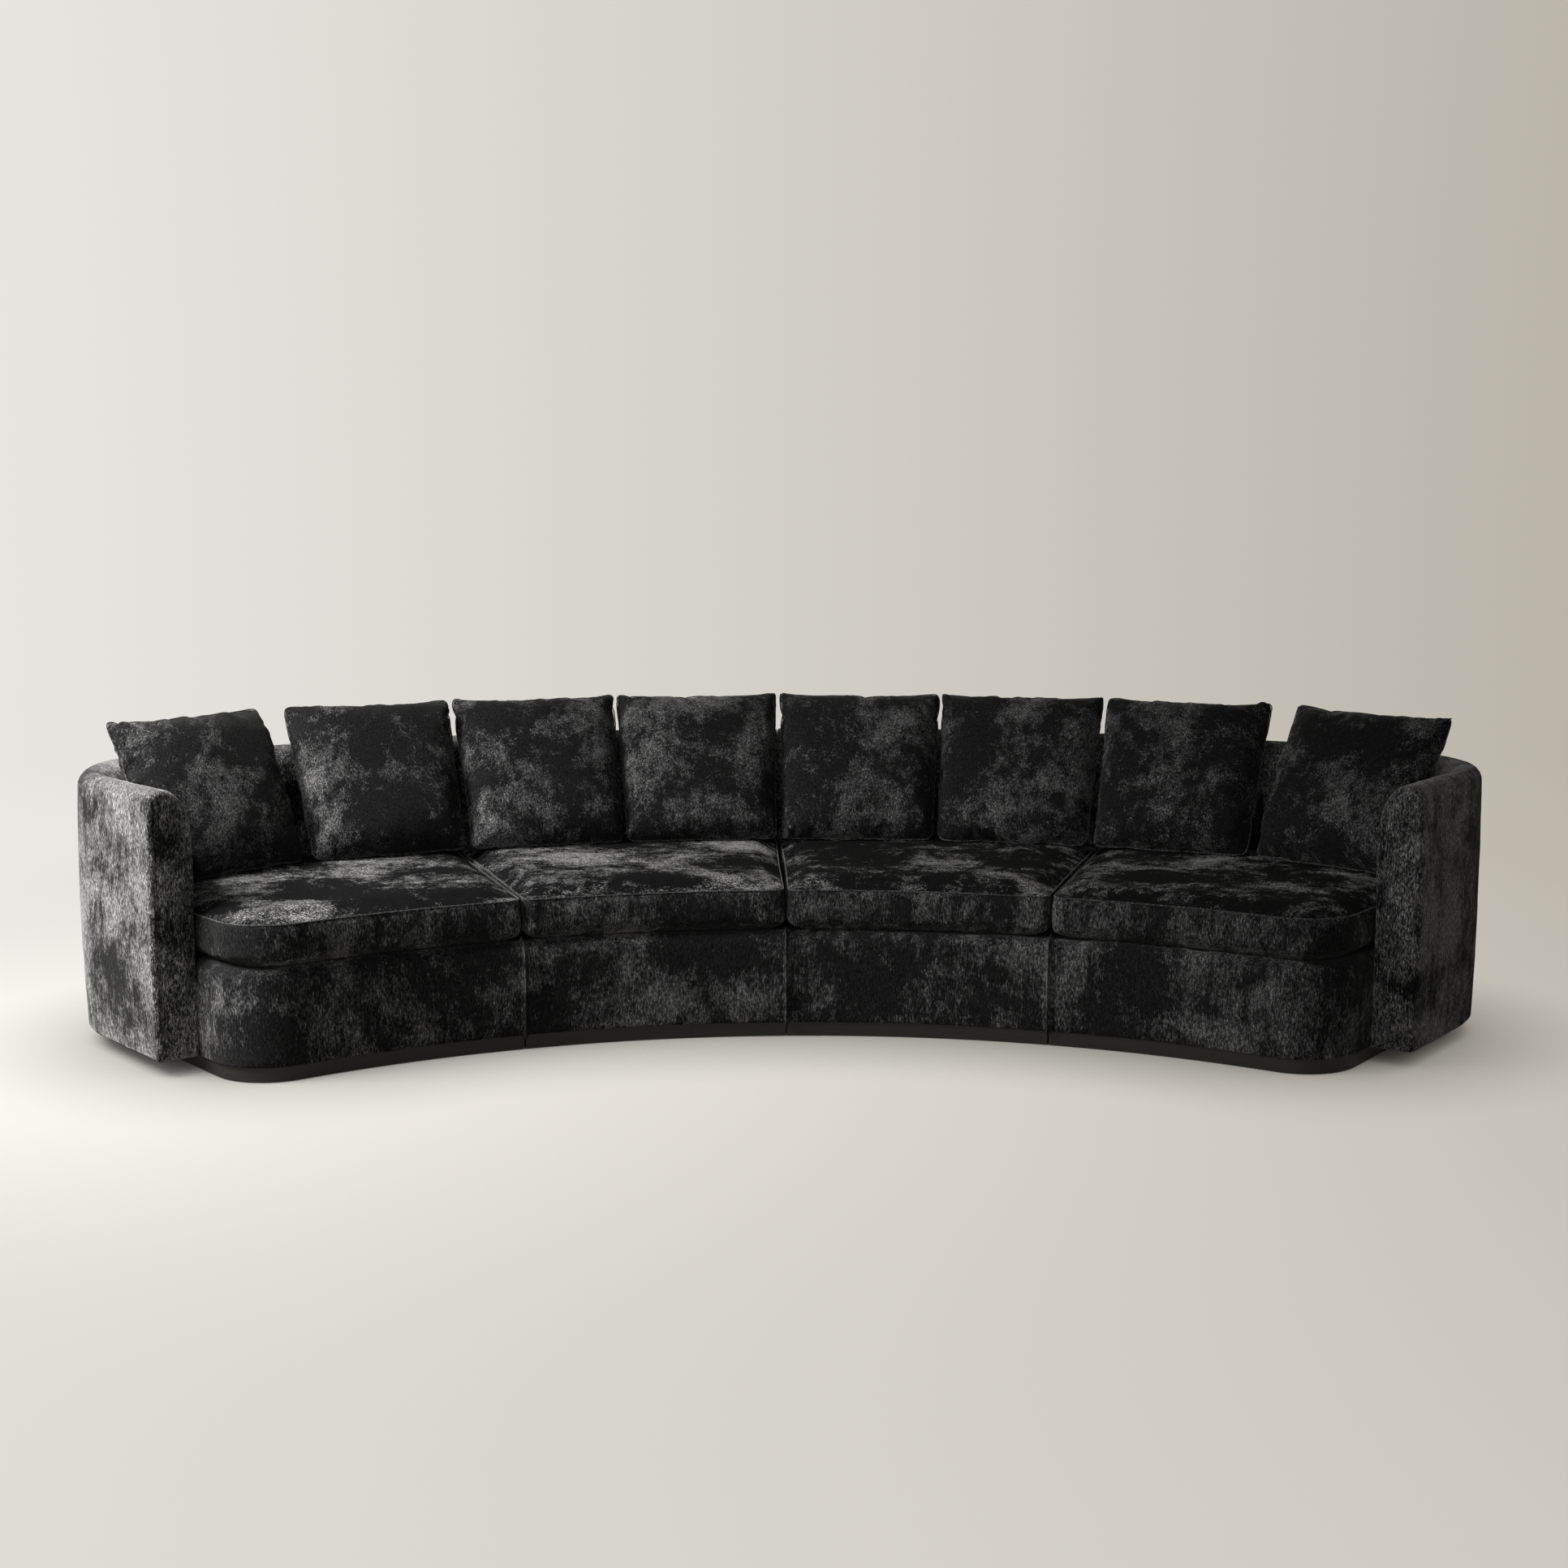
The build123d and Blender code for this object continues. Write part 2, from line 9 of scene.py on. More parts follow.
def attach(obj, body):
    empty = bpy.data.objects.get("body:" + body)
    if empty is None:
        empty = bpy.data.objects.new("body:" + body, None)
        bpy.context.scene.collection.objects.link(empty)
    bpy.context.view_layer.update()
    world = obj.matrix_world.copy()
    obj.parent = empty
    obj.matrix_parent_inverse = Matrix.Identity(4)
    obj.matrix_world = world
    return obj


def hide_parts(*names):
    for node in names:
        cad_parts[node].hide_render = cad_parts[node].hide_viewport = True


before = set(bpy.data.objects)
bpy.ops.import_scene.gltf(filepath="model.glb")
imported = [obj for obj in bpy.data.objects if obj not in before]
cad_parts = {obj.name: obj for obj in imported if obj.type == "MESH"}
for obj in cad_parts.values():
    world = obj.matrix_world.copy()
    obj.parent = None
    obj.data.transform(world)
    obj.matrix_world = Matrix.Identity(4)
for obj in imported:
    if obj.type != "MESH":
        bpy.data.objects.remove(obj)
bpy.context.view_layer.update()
print("frame loaded:", len(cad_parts), "nodes")

# plan of the row: every curve is about one centre, angles count from straight back to the right
row = {"centreY": -2.434579, "front": 2.155, "well": 3.024, "wall": 0.116, "seam": 19.0, "arm": 39.4,
       "halfGap": 0.002, "shownGap": 0.0006, "turnOutside": 0.380, "armFront": 2.395,
       "seatCorner": 0.170, "plinthTop": 0.040, "runStep": 0.004, "calmFrom": 0.008, "calmOver": 0.05}
modules = ["left_end", "left_middle", "right_middle", "right_end"]


def polar(radius, angle):
    turn = math.radians(angle)
    return np.array((radius * math.sin(turn), radius * math.cos(turn)))


def beside(radius, angle, offset):  # on a circle, a little to the right of a radial line
    turn = math.radians(angle)
    along = math.sqrt(radius * radius - offset * offset)
    return np.array((along * math.sin(turn) + offset * math.cos(turn),
                     along * math.cos(turn) - offset * math.sin(turn)))


def byArm(along, outward):  # along the inside of the arm, and outward from it
    turn = math.radians(row["arm"])
    return np.array((along * math.sin(turn) + outward * math.cos(turn),
                     along * math.cos(turn) - outward * math.sin(turn)))


def arcRun(middle, radius, first, last, step=row["runStep"]):  # points, and the ways out, between two angles
    count = max(3, int(abs(math.radians(last - first)) * radius / step))
    turns = np.radians(np.linspace(first, last, count))
    ways = np.stack((np.sin(turns), np.cos(turns)), axis=1)
    return np.asarray(middle) + radius * ways, ways


def lineRun(start, stop, way, step=row["runStep"]):
    count = max(3, int(np.linalg.norm(stop - start) / step))
    shares = np.linspace(0, 1, count)[:, None]
    return start + (stop - start) * shares, np.repeat(np.asarray(way)[None, :], count, axis=0)


def joined(*runs):
    points = np.concatenate([run[0] for run in runs])
    ways = np.concatenate([run[1] for run in runs])
    keep = np.concatenate(([True], np.linalg.norm(np.diff(points, axis=0), axis=1) > 1e-6))
    return points[keep], ways[keep]


def lengthsOf(points):
    return np.concatenate(([0.0], np.cumsum(np.linalg.norm(np.diff(points, axis=0), axis=1))))


def sampled(values, lengths, places):
    return np.stack([np.interp(places, lengths, column) for column in values.T], axis=1)


def compass(way):
    return math.degrees(math.atan2(way[0], way[1]))


def atLevel(plan, level):  # plan points with one height
    return np.column_stack((plan, np.full(len(plan), level)))


turnOutward = row["wall"] - row["turnOutside"]
turnAlong = math.sqrt((row["well"] + turnOutward) ** 2 - turnOutward ** 2)
turnCentre = byArm(turnAlong, turnOutward)
turnAngle = compass(turnCentre)


def seatCorner(front, arm):  # centre and radius of the rounded seat corner beside the arm
    radius = row["seatCorner"] - max(front, arm)
    along = math.sqrt((row["front"] + front + radius) ** 2 - (arm + radius) ** 2)
    return byArm(along, -arm - radius), radius, along


def wellTurn(rear, arm):  # centre and radius of the rounded back corner beside the arm
    radius = -turnOutward - max(rear, arm)
    along = math.sqrt((row["well"] - rear - radius) ** 2 - (arm + radius) ** 2)
    return byArm(along, -arm - radius), radius, along


def linkMesh(name, points, faces):
    mesh = bpy.data.meshes.new(name)
    mesh.from_pydata(points, [], faces)
    piece = bpy.data.objects.new(name, mesh)
    bpy.context.scene.collection.objects.link(piece)
    return piece


def makePiece(name, points, faces, mirrored):
    points = np.array(points, dtype=float)
    points[:, 1] += row["centreY"]
    if mirrored:
        points[:, 0] *= -1
    piece = linkMesh(name, points.tolist(), faces)
    work = bmesh.new()
    work.from_mesh(piece.data)
    bmesh.ops.recalc_face_normals(work, faces=work.faces)
    work.to_mesh(piece.data)
    work.free()
    piece.data.shade_smooth()
    return piece


def settle(piece, body, node, fill, *finishes):
    for finish in finishes:
        piece.data.materials.append(finish)
    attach(piece, body)
    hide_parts(node)


def markFaces(piece, first, last, number):
    for face in list(piece.data.polygons)[first:last]:
        face.material_index = number


def seamsOf(kind):  # the angle of each seam of a module, and which way leads into the module
    return ((0, 1), (row["seam"], -1)) if kind == "middle" else ((row["seam"], 1),)


def seamCalm(points, kind):  # nothing where two modules face each other, full a little further in
    turn = math.radians(row["seam"])
    away = np.abs(points[:, 0] * math.cos(turn) - points[:, 1] * math.sin(turn))
    if kind == "middle":
        away = np.minimum(away, np.abs(points[:, 0]))
    return np.clip((away - row["calmFrom"]) / row["calmOver"], 0, 1)


def addPuff(piece, weights, sizes):  # soft unevenness of padding under cloth
    group = piece.vertex_groups.new(name="puffed")
    for index, weight in enumerate(weights):
        group.add([index], float(weight), "REPLACE")
    for size, strength in sizes:
        clouds = bpy.data.textures.new(piece.name + "Puff", "CLOUDS")
        clouds.noise_scale = size
        clouds.noise_depth = 1
        puff = piece.modifiers.new("puff", "DISPLACE")
        puff.texture = clouds
        puff.texture_coords = "LOCAL"
        puff.strength = strength
        puff.mid_level = 0.5
        puff.vertex_group = group.name


def quarterBend(count):  # how far a quarter bend still is from its two tangents
    return [(1 - math.cos(bend), 1 - math.sin(bend)) for bend in np.linspace(0, math.pi / 2, count)]


def endPlaces(length, step, firstRound, lastRound, bends=6):  # places, and how far the section shrinks there
    curve = quarterBend(bends)
    first = [(firstRound * along, firstRound * shrink) for along, shrink in curve]
    last = [(length - lastRound * along, lastRound * shrink) for along, shrink in curve[::-1]]
    count = max(2, int((length - firstRound - lastRound) / step))
    between = [(place, 0.0) for place in np.linspace(firstRound, length - lastRound, count + 1)[1:-1]]
    return first + between + last


def loopNormals(loop):
    ahead = np.roll(loop, -1, axis=0) - np.roll(loop, 1, axis=0)
    ahead /= np.linalg.norm(ahead, axis=1)[:, None]
    return np.stack((-ahead[:, 1], ahead[:, 0]), axis=1)


def sweep(run, section, step, firstRound, lastRound):  # closed section along a run, with rounded ends
    points, ways = run
    lengths = lengthsOf(points)
    outs = loopNormals(section)
    rings = []
    for place, shrink in endPlaces(lengths[-1], step, firstRound, lastRound):
        spot = sampled(points, lengths, [place])[0]
        way = sampled(ways, lengths, [place])[0]
        way /= np.linalg.norm(way)
        ring = section - outs * shrink
        rings.append(np.concatenate((spot + ring[:, :1] * way, ring[:, 1:]), axis=1))
    return rings


def skin(rings):  # rings joined to one closed body
    count = len(rings[0])
    faces = []
    for index in range(len(rings) - 1):
        low = index * count
        high = low + count
        for place in range(count):
            after = (place + 1) % count
            faces.append((low + place, low + after, high + after, high + place))
    faces.append(tuple(range(count))[::-1])
    faces.append(tuple(range(len(rings) * count - count, len(rings) * count)))
    return np.concatenate(rings), faces


def roundedPath(corners, step):  # straight runs joined by quarter bends: (point, radius) pairs
    points = []
    count = len(corners)
    for index in range(count):
        here, radius = np.array(corners[index][0]), corners[index][1]
        before = np.array(corners[index - 1][0])
        after = np.array(corners[(index + 1) % count][0])
        toBefore = (before - here) / np.linalg.norm(before - here)
        toAfter = (after - here) / np.linalg.norm(after - here)
        middle = here + radius * (toBefore + toAfter)
        bends = np.linspace(0, math.pi / 2, max(4, int(radius * 1.6 / step)))  # 1.6: about a quarter turn
        for bend in bends:
            points.append(middle - radius * (toAfter * math.cos(bend) + toBefore * math.sin(bend)))
    loop = np.array(points + [points[0]])
    lengths = lengthsOf(loop)
    places = []
    for low, high in zip(lengths, lengths[1:]):
        parts = max(1, int((high - low) / step))
        places += list(low + (high - low) * np.arange(parts) / parts)
    return sampled(loop, lengths, np.array(places))


class Sock:  # a socket that takes part in expressions
    def __init__(self, paint, socket):
        self.paint = paint
        self.socket = socket

    def __add__(self, other):
        return self.paint.maths("ADD", self, other)

    def __radd__(self, other):
        return self.paint.maths("ADD", other, self)

    def __sub__(self, other):
        return self.paint.maths("SUBTRACT", self, other)

    def __rsub__(self, other):
        return self.paint.maths("SUBTRACT", other, self)

    def __mul__(self, other):
        return self.paint.maths("MULTIPLY", self, other)

    def __rmul__(self, other):
        return self.paint.maths("MULTIPLY", other, self)


class Paint:  # one node tree and its shader: a material's, or the world's
    def __init__(self, name, world=None, **fixed):
        self.material = world or bpy.data.materials.new(name)
        self.material.use_nodes = True
        self.tree = self.material.node_tree
        self.shader = self.tree.nodes["Background" if world else "Principled BSDF"]
        for socket, value in fixed.items():
            self.shader.inputs[socket.replace("_", " ")].default_value = value

    def node(self, kind, settings=None, out=0, **sockets):
        made = self.tree.nodes.new(kind)
        for name, value in (settings or {}).items():
            if name == "stops":
                while len(made.color_ramp.elements) < len(value):
                    made.color_ramp.elements.new(0.5)
                for element, (place, shade) in zip(made.color_ramp.elements, value):
                    element.position = place
                    element.color = (shade, shade, shade, 1)
            else:
                setattr(made, name, value)
        for name, value in sockets.items():
            place = int(name[1:]) if name[1:].isdigit() else name.replace("_", " ")
            self.plug(made.inputs[place], value)
        return Sock(self, made.outputs[out])

    def plug(self, socket, value):
        if isinstance(value, Sock):
            self.tree.links.new(value.socket, socket)
        else:
            socket.default_value = value

    def maths(self, operation, first, second):
        return self.node("ShaderNodeMath", {"operation": operation}, s0=first, s1=second)

    def ramp(self, value, *stops):
        return self.node("ShaderNodeValToRGB", {"stops": stops}, Fac=value)

    def mixed(self, share, first, second):
        return self.node("ShaderNodeMix", {"data_type": "RGBA"}, out=2, s0=share, s6=first, s7=second)

    def place(self, stretch, shift=(0, 0, 0)):
        spot = self.node("ShaderNodeTexCoord", out=3)
        return self.node("ShaderNodeMapping", Vector=spot, Location=shift, Scale=stretch)

    def cloud(self, place, scale, detail, rough, twist=0.0):
        return self.node("ShaderNodeTexNoise", Vector=place, Scale=scale, Detail=detail, Roughness=rough,
                         Distortion=twist)

    def bumped(self, height, strength, distance):
        return self.node("ShaderNodeBump", Height=height, Strength=strength, Distance=distance)

    def crossed(self, share, second):  # another surface shows where share is 1
        both = self.node("ShaderNodeMixShader", s0=share, s1=Sock(self, self.shader.outputs[0]), s2=second)
        self.tree.links.new(both.socket, self.tree.nodes["Material Output"].inputs["Surface"])

    def seen(self):  # rays that look at the background, also in a reflection
        camera, glossy, passing = [self.node("ShaderNodeLightPath", out=f"Is {ray} Ray")
                                   for ray in ("Camera", "Glossy", "Transmission")]
        return camera + glossy + passing

    def wear(self, **sockets):
        for name, value in sockets.items():
            self.plug(self.shader.inputs[name.replace("_", " ")], value)
        return self.material


velvetLook = {"deep": 0.0065, "patch": 4.3, "clump": 26.0, "stroke": 185.0, "grain": 420.0,
              "clumpShare": 0.45, "strokeShare": 0.35, "level": 0.4, "sparkFrom": 0.43, "sparkTo": 0.64,
              "bump": 0.55, "bumpDepth": 0.0025, "sheenRough": 0.4, "standingGloss": 0.02, "lyingGloss": 0.06}
# one velvet for every piece, with pile and bright levels that differ per piece as painted light and shade:
# shade on its grazing tops and its brighter patches paint highlights, the dimmer base and pillows paint shaded
# fronts
# the wall's brighter, wider crushed patches paint the light on the arm sides, the seat's darker pile paints
velvetUses = {"wall": {"stretch": (1.5, 1.5, 0.42), "shift": (3.1, 0.4, 0.0), "low": 0.40, "high": 0.61,
                       "pile": 0.034, "bright": 0.60, "standing": 0.08, "lying": 1.0},
              "base": {"stretch": (1.5, 1.5, 0.42), "shift": (3.1, 0.4, 0.0), "low": 0.47, "high": 0.68,
                       "pile": 0.050, "bright": 0.35, "standing": 0.06, "lying": 0.6},
              "seat": {"stretch": (1.1, 1.1, 1.1), "shift": (1.3, 5.2, 1.0), "low": 0.50, "high": 0.68,
                       "pile": 0.010, "bright": 0.72, "standing": 0.005, "lying": 0.6},
              "seam": {"stretch": (1.0, 1.0, 1.0), "shift": (2.2, 6.1, 0.7), "low": 0.25, "high": 0.45,
                       "pile": 0.036, "bright": 0.20, "standing": 0.04, "lying": 0.5},
              "pillow": {"stretch": (1.4, 1.4, 0.7), "shift": (7.7, 1.9, 3.3), "low": 0.50, "high": 0.68,
                         "pile": 0.042, "bright": 0.33, "standing": 0.05, "lying": 0.5}}


def grey(level):
    return (level, level, level * 1.02, 1)


def makeVelvet(name, use):  # standing pile, and ragged patches where it lies crushed
    look = velvetLook
    paint = Paint(name, Sheen_Weight=use["standing"], Sheen_Roughness=look["sheenRough"],
                  Specular_IOR_Level=look["standingGloss"])
    flat = paint.place((1, 1, 1), use["shift"])
    nap = paint.place(use["stretch"], use["shift"])  # drawn out along the pile
    patches = paint.cloud(flat, look["patch"], detail=8.0, rough=0.66, twist=0.4)
    clumps = paint.cloud(nap, look["clump"], detail=5.0, rough=0.68, twist=0.5)
    strokes = paint.cloud(nap, look["stroke"], detail=3.0, rough=0.7, twist=0.2)
    grain = paint.cloud(nap, look["grain"], detail=1.0, rough=0.5)
    ragged = patches + look["clumpShare"] * clumps + look["strokeShare"] * strokes - look["level"]
    crushed = paint.ramp(ragged, (use["low"], 0), (use["high"], 1))
    # spark: fine strokes and grain that brighten the colour, partly the velvet's own texture, partly painted
    # glints
    spark = paint.ramp(0.6 * strokes + 0.4 * grain, (look["sparkFrom"], 0), (look["sparkTo"], 1))
    normal = paint.bumped(0.7 * spark + 0.5 * clumps, look["bump"], look["bumpDepth"])
    lyingTone = paint.mixed(spark, grey(use["pile"]), grey(use["bright"]))
    lying = paint.node("ShaderNodeBsdfPrincipled", Base_Color=lyingTone, Roughness=0.75 - 0.25 * spark,
                       Specular_IOR_Level=look["lyingGloss"], Sheen_Weight=use["lying"],
                       Sheen_Roughness=look["sheenRough"], Normal=normal)
    paint.crossed(crushed * (0.3 + 0.7 * spark), lying)
    standingTone = paint.mixed(0.6 * spark + 0.4 * crushed, grey(look["deep"]), grey(use["pile"]))
    return paint.wear(Base_Color=standingTone, Roughness=0.92 - 0.2 * spark, Normal=normal)


velvets = {name: makeVelvet(name + "Velvet", use) for name, use in velvetUses.items()}


def makeWood(name, dark, light, grain, rough, gloss):
    paint = Paint(name, Specular_IOR_Level=gloss)
    lines = paint.cloud(paint.place((1.0, 1.0, grain)), scale=9.0, detail=6.0, rough=0.6, twist=1.2)
    fine = paint.cloud(paint.place((1.0, 1.0, grain * 2)), scale=60.0, detail=3.0, rough=0.6)
    share = paint.ramp(lines * 0.7 + fine * 0.3, (0.35, 0), (0.65, 1))
    return paint.wear(Base_Color=paint.mixed(share, dark, light), Roughness=rough + 0.15 * share,
                      Normal=paint.bumped(share, strength=0.25, distance=0.001))


def makeCloth(name, dark, light, threads, rough):
    paint = Paint(name, Specular_IOR_Level=0.2)
    weave = paint.cloud(paint.place((1, 1, 1)), scale=threads, detail=2.0, rough=0.6)
    soft = paint.cloud(paint.place((1, 1, 1)), scale=12.0, detail=4.0, rough=0.6)
    share = paint.ramp(weave * 0.6 + soft * 0.4, (0.3, 0), (0.7, 1))
    return paint.wear(Base_Color=paint.mixed(share, dark, light), Roughness=rough + 0.1 * soft,
                      Normal=paint.bumped(weave, strength=0.4, distance=0.001))


def makeSteel():
    paint = Paint("zincSteel", Metallic=1.0)
    brush = paint.cloud(paint.place((4, 60, 60)), scale=14.0, detail=4.0, rough=0.6)
    share = paint.ramp(brush, (0.3, 0), (0.7, 1))
    return paint.wear(Base_Color=paint.mixed(share, (0.42, 0.42, 0.42, 1), (0.58, 0.58, 0.57, 1)),
                      Roughness=0.35 + 0.2 * share, Normal=paint.bumped(brush, strength=0.1, distance=0.0005))


nodeFinish = {
    "plinth": makeWood("plinthStain", dark=(0.006, 0.005, 0.0042, 1), light=(0.012, 0.0098, 0.008, 1),
                       grain=6.0, rough=0.45, gloss=0.28),
    "frame": makeWood("rawBoard", dark=(0.36, 0.25, 0.15, 1), light=(0.52, 0.39, 0.25, 1),
                      grain=5.0, rough=0.6, gloss=0.4),
    "webbing": makeCloth("strapWeave", dark=(0.018, 0.018, 0.019, 1), light=(0.05, 0.05, 0.053, 1),
                         threads=400.0, rough=0.7),
    "dust": makeCloth("dustCloth", dark=(0.008, 0.008, 0.008, 1), light=(0.018, 0.018, 0.018, 1),
                      threads=500.0, rough=0.85),
    "deck": makeCloth("deckCloth", dark=(0.012, 0.012, 0.013, 1), light=(0.03, 0.03, 0.031, 1),
                      threads=450.0, rough=0.85),
    "glides": makeCloth("glideNylon", dark=(0.022, 0.022, 0.022, 1), light=(0.036, 0.036, 0.036, 1),
                        threads=90.0, rough=0.45),
    "seam": makeSteel()}
print("materials:", len(bpy.data.materials))

for name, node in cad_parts.items():
    for word, finish in nodeFinish.items():
        if word in name:
            node.data.materials.clear()
            node.data.materials.append(finish)

wallLook = {"top": 0.742, "innerRoll": (0.080, 0.125), "outerRoll": 0.038, "hem": 0.012, "step": 0.012,
            "rollBends": 14, "innerFull": 0.003, "innerRise": 0.42, "innerShare": 0.4, "innerCalm": 0.25,
            "outerFull": 0.006, "seatTop": 0.446, "seamRound": 0.008, "frontRound": 0.014,
            "seamDepth": 0.0035, "frontPuff": 0.003, "puff": ((0.30, 0.006), (0.07, 0.002)), "fill": 0.9}
# rings of the sewn arm front: inset, and share of the groove's depth or of the puff
frontRings = ((0.0165, -1.0), (0.019, -1.0), (0.023, 0.0), (0.032, 0.6), (0.042, 1.0), (0.050, 1.0))


def wallRun(kind):
    edge = math.degrees(row["shownGap"] / row["well"])
    if kind == "middle":
        return arcRun((0, 0), row["well"], edge, row["seam"] - edge)
    outward = byArm(0, 1)
    return joined(arcRun((0, 0), row["well"], row["seam"] + edge, turnAngle),
                  arcRun(turnCentre, -turnOutward, turnAngle, row["arm"] + 90),
                  lineRun(byArm(turnAlong, 0), byArm(row["armFront"], 0), outward))


def wallSection():  # up the inside, over the roll, down the outside
    look = wallLook
    thick, foot, top = row["wall"], row["plinthTop"], look["top"]
    wide, tall = look["innerRoll"]
    curve = quarterBend(look["rollBends"])
    loop = [(0.0, foot)] + [(wide * across, top - tall * down) for across, down in curve]
    for radius, level, way in ((look["outerRoll"], top, -1), (look["hem"], foot, 1)):
        arc = [(thick - radius * across, level + way * radius * rise) for rise, across in curve]
        loop += arc[::-way]
    loop = np.array(loop + loop[:1])
    lengths = lengthsOf(loop)
    count = int(lengths[-1] / look["step"])
    section = sampled(loop, lengths, np.linspace(0, lengths[-1], count, endpoint=False))
    side = section[:, 0] / thick * 2 - 1
    above = np.clip((section[:, 1] - look["seatTop"]) / (top - look["seatTop"]), 0, 1)
    height = np.clip((section[:, 1] - foot) / (top - foot), 0, 1)
    section[:, 0] -= look["innerFull"] * np.clip(-side, 0, 1) * np.sin(math.pi * above ** look["innerRise"])
    section[:, 0] += look["outerFull"] * np.clip(side, 0, 1) * np.sin(math.pi * height)
    return section


def makeWall(name, kind, mirrored):
    look = wallLook
    section = wallSection()
    lastRound = look["frontRound"] if kind == "end" else look["seamRound"]
    rings = sweep(wallRun(kind), section, look["step"], look["seamRound"], lastRound)
    if kind == "end":  # sewn panel over the arm front: a groove, then a slightly full face
        ahead, way = byArm(-1, 0), byArm(0, 1)
        middle = np.array((row["wall"] / 2, (row["plinthTop"] + look["top"]) / 2))
        half = np.array((row["wall"] / 2, (look["top"] - row["plinthTop"]) / 2))
        spot = byArm(row["armFront"], 0)
        for inset, share in frontRings:
            ring = middle + (section - middle) * (1 - inset / half)
            rise = share * (look["seamDepth"] if share < 0 else look["frontPuff"])
            plan = spot + ring[:, :1] * way + ahead * rise
            rings.append(np.concatenate((plan, ring[:, 1:]), axis=1))
    points, faces = skin(rings)
    piece = makePiece(name, points, faces, mirrored)
    inside = section[:, 0] < row["wall"] * look["innerShare"]  # calm, because the cushion slides along it
    calm = np.tile(np.where(inside, look["innerCalm"], 1.0), len(rings))
    addPuff(piece, seamCalm(points, kind) * calm, look["puff"])
    return piece


apronLook = {"top": 0.294, "thick": 0.034, "topRound": 0.030, "hem": 0.006, "hiddenRounds": (0.001, 0.002),
             "step": 0.012, "seamRound": 0.012, "armRound": 0.002, "full": 0.003, "face": 0.003,
             "lining": 0.005, "liningGap": 0.0005, "liningDrop": 0.014,
             "puff": ((0.25, 0.004), (0.06, 0.0015)), "fill": 0.9}


def apronRun(kind):
    edge = math.degrees(row["shownGap"] / row["front"])
    if kind == "middle":
        points, ways = arcRun((0, 0), row["front"], edge, row["seam"] - edge)
        return points, -ways
    middle, radius, along = seatCorner(0, 0)
    points, ways = arcRun((0, 0), row["front"], row["seam"] + edge, compass(middle))
    return joined((points, -ways), arcRun(middle, radius, compass(middle) + 180, row["arm"] + 90),
                  lineRun(byArm(along, 0), byArm(turnAlong, 0), byArm(0, 1)))


def makeBase(name, kind, mirrored):
    look = apronLook
    foot, top, thick = row["plinthTop"], look["top"], look["thick"]
    lowRound, highRound = look["hiddenRounds"]
    section = roundedPath([((0, foot), look["hem"]), ((-thick, foot), lowRound), ((-thick, top), highRound),
                           ((0, top), look["topRound"])], look["step"])[::-1]
    full = np.sin(np.clip((section[:, 1] - foot) / (top - foot), 0, 1) * math.pi)
    section[:, 0] += np.where(section[:, 0] > -look["face"], look["full"] * full, 0)
    lastRound = look["armRound"] if kind == "end" else look["seamRound"]
    points, faces = skin(sweep(apronRun(kind), section, look["step"], look["seamRound"], lastRound))
    near = row["front"] + thick + look["liningGap"]
    far = row["well"] - look["liningGap"]
    for angle, inward in seamsOf(kind):  # thin lined sides along the seams
        ring = [beside(radius, angle, inward * (row["halfGap"] + offset))
                for radius, offset in ((near, 0), (near, look["lining"]), (far, look["lining"]), (far, 0))]
        liningPoints, liningFaces = skin([atLevel(ring, foot), atLevel(ring, top - look["liningDrop"])])
        faces += [tuple(index + len(points) for index in face) for face in liningFaces]
        points = np.concatenate((points, liningPoints))
    piece = makePiece(name, points, faces, mirrored)
    addPuff(piece, seamCalm(points, kind), look["puff"])
    return piece


cushionLook = {"bottom": 0.2945, "band": 0.114, "crown": 0.029, "crownPower": 2.4, "top": 0.4414, "soft": 0.008,
               "bulge": 0.004, "proud": 0.003, "room": 0.010, "clear": 0.0015, "draw": 0.003, "edge": 0.030,
               "foot": 0.036, "footHeight": 0.028, "reach": 0.20, "columns": 64, "rows": 54, "bandRows": 13,
               "bandPower": 1.5, "bandFull": 0.7, "slack": 0.02, "pressure": 3.0, "frames": 14,
               "out": 0.004, "up": 0.012, "roll": 0.0023, "fill": 0.75}


def drawnLine(start, stop, pull, step=row["runStep"]):  # a side pulled in between its corners
    count = max(3, int(np.linalg.norm(stop - start) / step))
    shares = np.linspace(0, 1, count)[:, None]
    return start + (stop - start) * shares + np.asarray(pull) * np.sin(shares * math.pi)


def cutCorner(first, second, radius, half=6):  # two sides that meet are eased, and split half way round
    ends = []
    for side in (first[::-1], second):
        lengths = lengthsOf(side)
        start = sampled(side, lengths, [radius])
        ends.append((start, np.concatenate((start, side[lengths > radius]))))
    (leave, before), (arrive, after) = ends
    shares = np.linspace(0, 1, 2 * half + 1)[:, None]
    bend = (1 - shares) ** 2 * leave + 2 * shares * (1 - shares) * first[-1] + shares ** 2 * arrive
    return np.concatenate((before[::-1], bend[1:half + 1])), np.concatenate((bend[half:-1], after))


